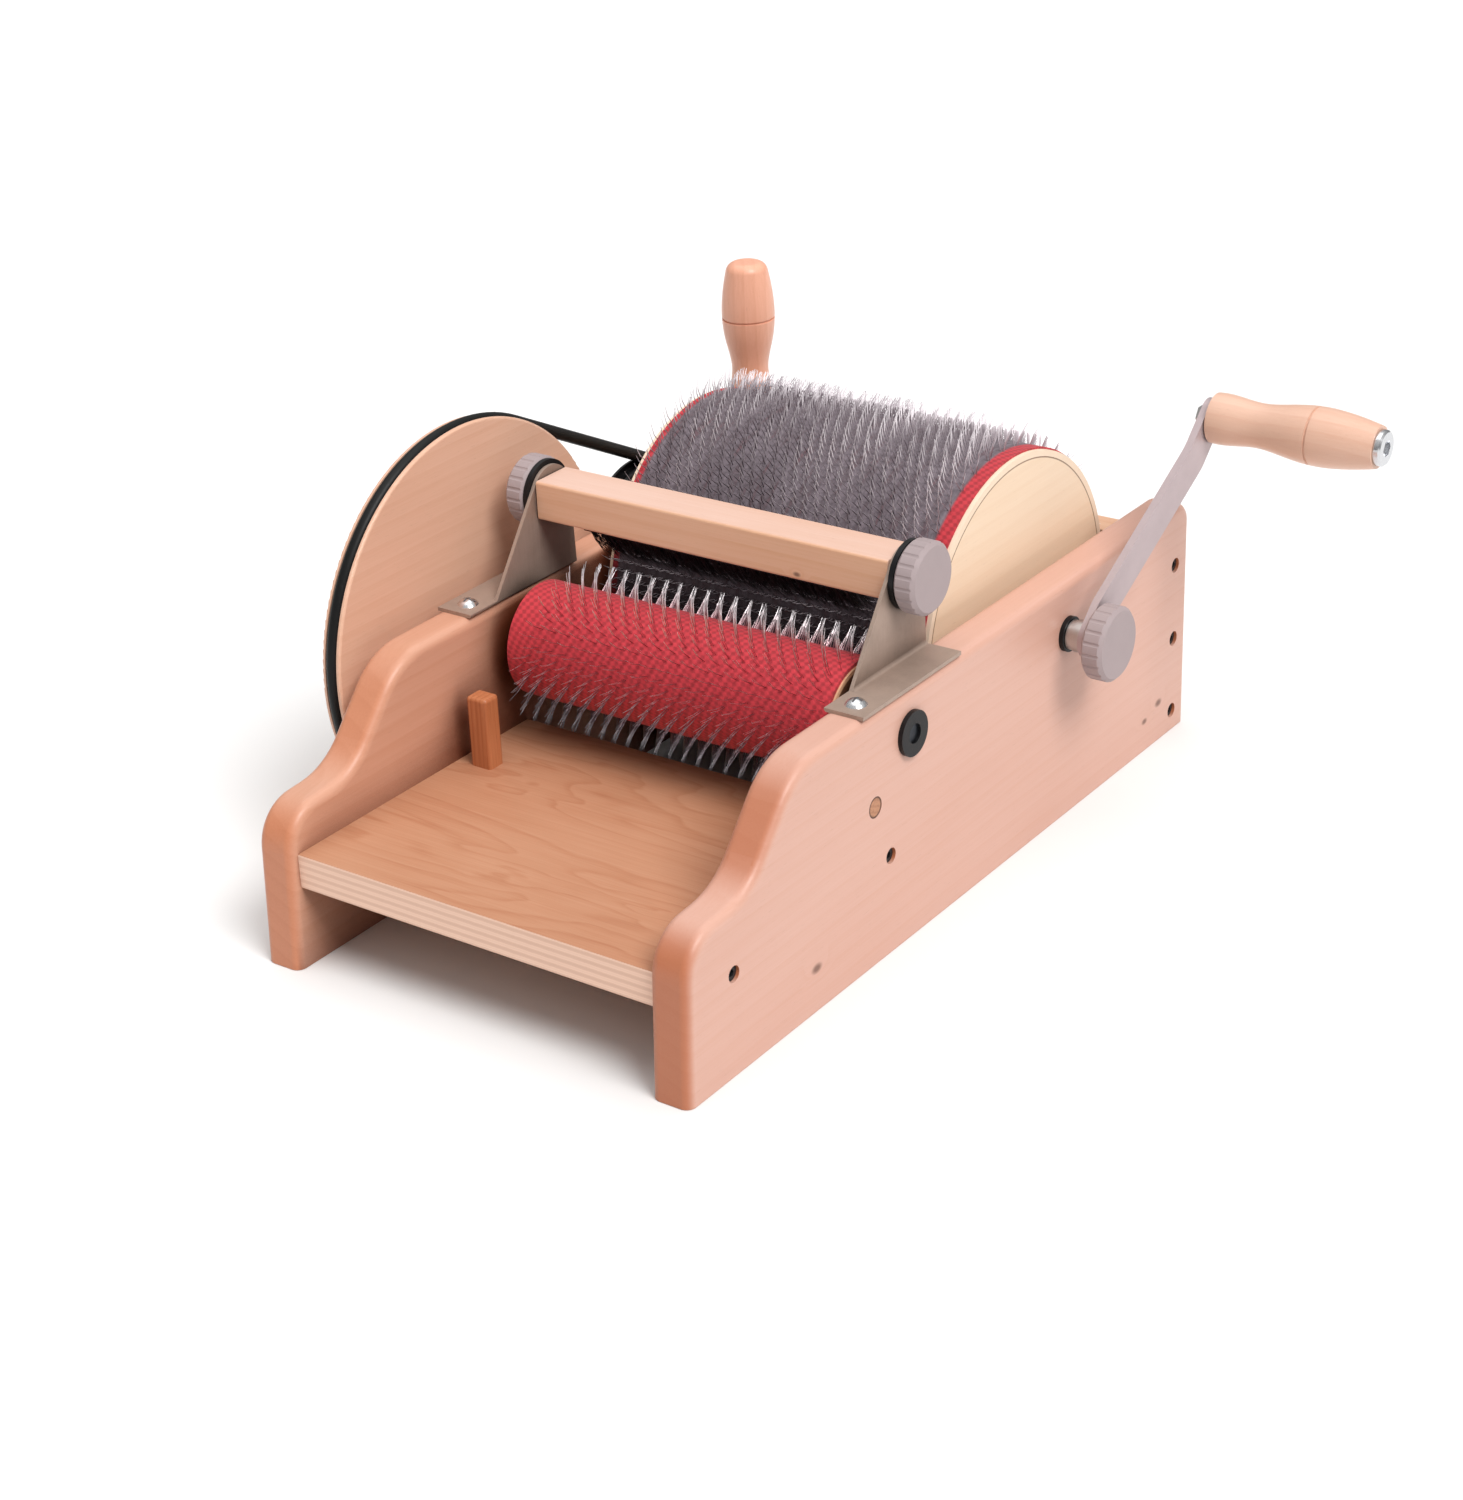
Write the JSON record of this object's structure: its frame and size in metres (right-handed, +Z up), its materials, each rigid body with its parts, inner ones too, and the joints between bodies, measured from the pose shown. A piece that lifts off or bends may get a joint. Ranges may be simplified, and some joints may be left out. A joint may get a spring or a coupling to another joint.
{
  "type": "drum carder",
  "caption": "Hand-cranked table-top drum carder: wooden frame, feed tray, small and large toothed rollers, belt drive, packer brush and awl.",
  "frame": {"origin": "on the table, at the middle of the carder's overall width and depth (a natural zero for a thing that rests on a table; the crank side and the belt side are equally far)", "axes": "+X to the crank side, +Y from the feed tray towards the large drum and the rear, +Z up"},
  "size_m": [0.416, 0.478, 0.249],
  "materials": {
    "frame_wood": "satin oil",
    "ply_wood": "satin oil",
    "guide_wood": "satin oil",
    "plug_wood": "satin oil",
    "beam_wood": "satin oil",
    "turned_wood": "waxed",
    "pulley_wood": "satin oil",
    "roller_wood": "bare",
    "red_cloth": "rubberised card cloth",
    "tooth_steel": "bright drawn wire",
    "shaft_steel": "turned",
    "bracket_steel": "zinc plated",
    "bright_screw": "polished",
    "dark_screw": "black oxide",
    "black_plastic": "moulded",
    "grey_plastic": "moulded",
    "belt_rubber": "smooth",
    "arm_metal": "satin",
    "bristle_black": "fine filaments"
  },
  "bodies": {
    "frame": {"bracket_screws": "bright_screw", "brush_bracket_left": "bracket_steel", "brush_bracket_right": "bracket_steel", "drive_belt": "belt_rubber", "drum_bush_left": "black_plastic", "drum_bush_right": "black_plastic", "feed_tray": "ply_wood", "fibre_guide_left": "guide_wood", "fibre_guide_right": "guide_wood", "licker_bush_left": "black_plastic", "licker_bush_right": "black_plastic", "panel_plug": "plug_wood", "panel_screws": "dark_screw", "rear_panel": "ply_wood", "side_panel_left": "frame_wood", "side_panel_right": "frame_wood"},
    "drum": {"drum_shaft": "shaft_steel", "drum_disc_left": "roller_wood", "drum_disc_right": "roller_wood", "drum_shell": "grey_plastic", "drum_cloth": "red_cloth", "drum_teeth": "tooth_steel", "drum_spacer_left": "black_plastic", "drum_spacer_right": "black_plastic", "drum_pulley": "black_plastic", "drum_sleeve": "shaft_steel", "drum_pulley_washer": "shaft_steel", "drum_pulley_nut": "shaft_steel", "crank_arm": "arm_metal", "crank_collar": "shaft_steel", "crank_washer": "black_plastic", "handle_bolt": "bright_screw", "handle_washer": "shaft_steel", "handle_nut": "shaft_steel"},
    "licker": {"licker_shaft": "shaft_steel", "licker_core": "roller_wood", "licker_cloth": "red_cloth", "licker_teeth": "tooth_steel", "licker_spacer_left": "black_plastic", "licker_spacer_right": "black_plastic", "licker_pulley": "pulley_wood", "licker_sleeve": "shaft_steel", "licker_pulley_washer": "shaft_steel", "licker_pulley_nut": "shaft_steel"},
    "brush": {"brush_beam": "beam_wood", "brush_holder": "black_plastic", "brush_bristles": "bristle_black", "brush_stud_left": "bright_screw", "brush_stud_right": "bright_screw", "brush_washer_left": "black_plastic", "brush_washer_right": "black_plastic"},
    "crank_grip": {"crank_handle": "turned_wood"},
    "crank_clamp": {"crank_knob": "grey_plastic"},
    "brush_clamp_left": {"brush_knob_left": "grey_plastic"},
    "brush_clamp_right": {"brush_knob_right": "grey_plastic"},
    "awl": {"awl_handle": "turned_wood", "awl_blade": "shaft_steel"}
  },
  "joints": [
    {"name": "drum_spin", "type": "hinge", "parent": "frame", "child": "drum", "pos_m": [-0.048, 0.103, 0.105], "axis": [1, 0, 0], "continuous": true},
    {"name": "licker_spin", "type": "hinge", "parent": "frame", "child": "licker", "pos_m": [-0.048, -0.0497, 0.1113], "axis": [1, 0, 0], "continuous": true},
    {"name": "handle_spin", "type": "hinge", "parent": "drum", "child": "crank_grip", "pos_m": [0.113, 0.20513, 0.19631], "axis": [1, 0, 0], "continuous": true},
    {"name": "crank_knob_turn", "type": "hinge", "parent": "drum", "child": "crank_clamp", "pos_m": [0.107, 0.103, 0.105], "axis": [1, 0, 0], "range_deg": [0, 180]},
    {"name": "brush_tilt", "type": "hinge", "parent": "frame", "child": "brush", "pos_m": [-0.048, -0.02, 0.179], "axis": [1, 0, 0], "range_deg": [0, 100]},
    {"name": "brush_knob_left_turn", "type": "hinge", "parent": "brush", "child": "brush_clamp_left", "pos_m": [-0.166, -0.02, 0.179], "axis": [1, 0, 0], "range_deg": [0, 180]},
    {"name": "brush_knob_right_turn", "type": "hinge", "parent": "brush", "child": "brush_clamp_right", "pos_m": [0.07, -0.02, 0.179], "axis": [1, 0, 0], "range_deg": [0, 180]},
    {"name": "awl_lift", "type": "slide", "parent": "frame", "child": "awl", "axis": [0, 0, 1], "range_m": [0, 0.075]}
  ],
  "couplings": [
    {"joint": "licker_spin", "follows": "drum_spin", "ratio": 0.4}
  ]
}
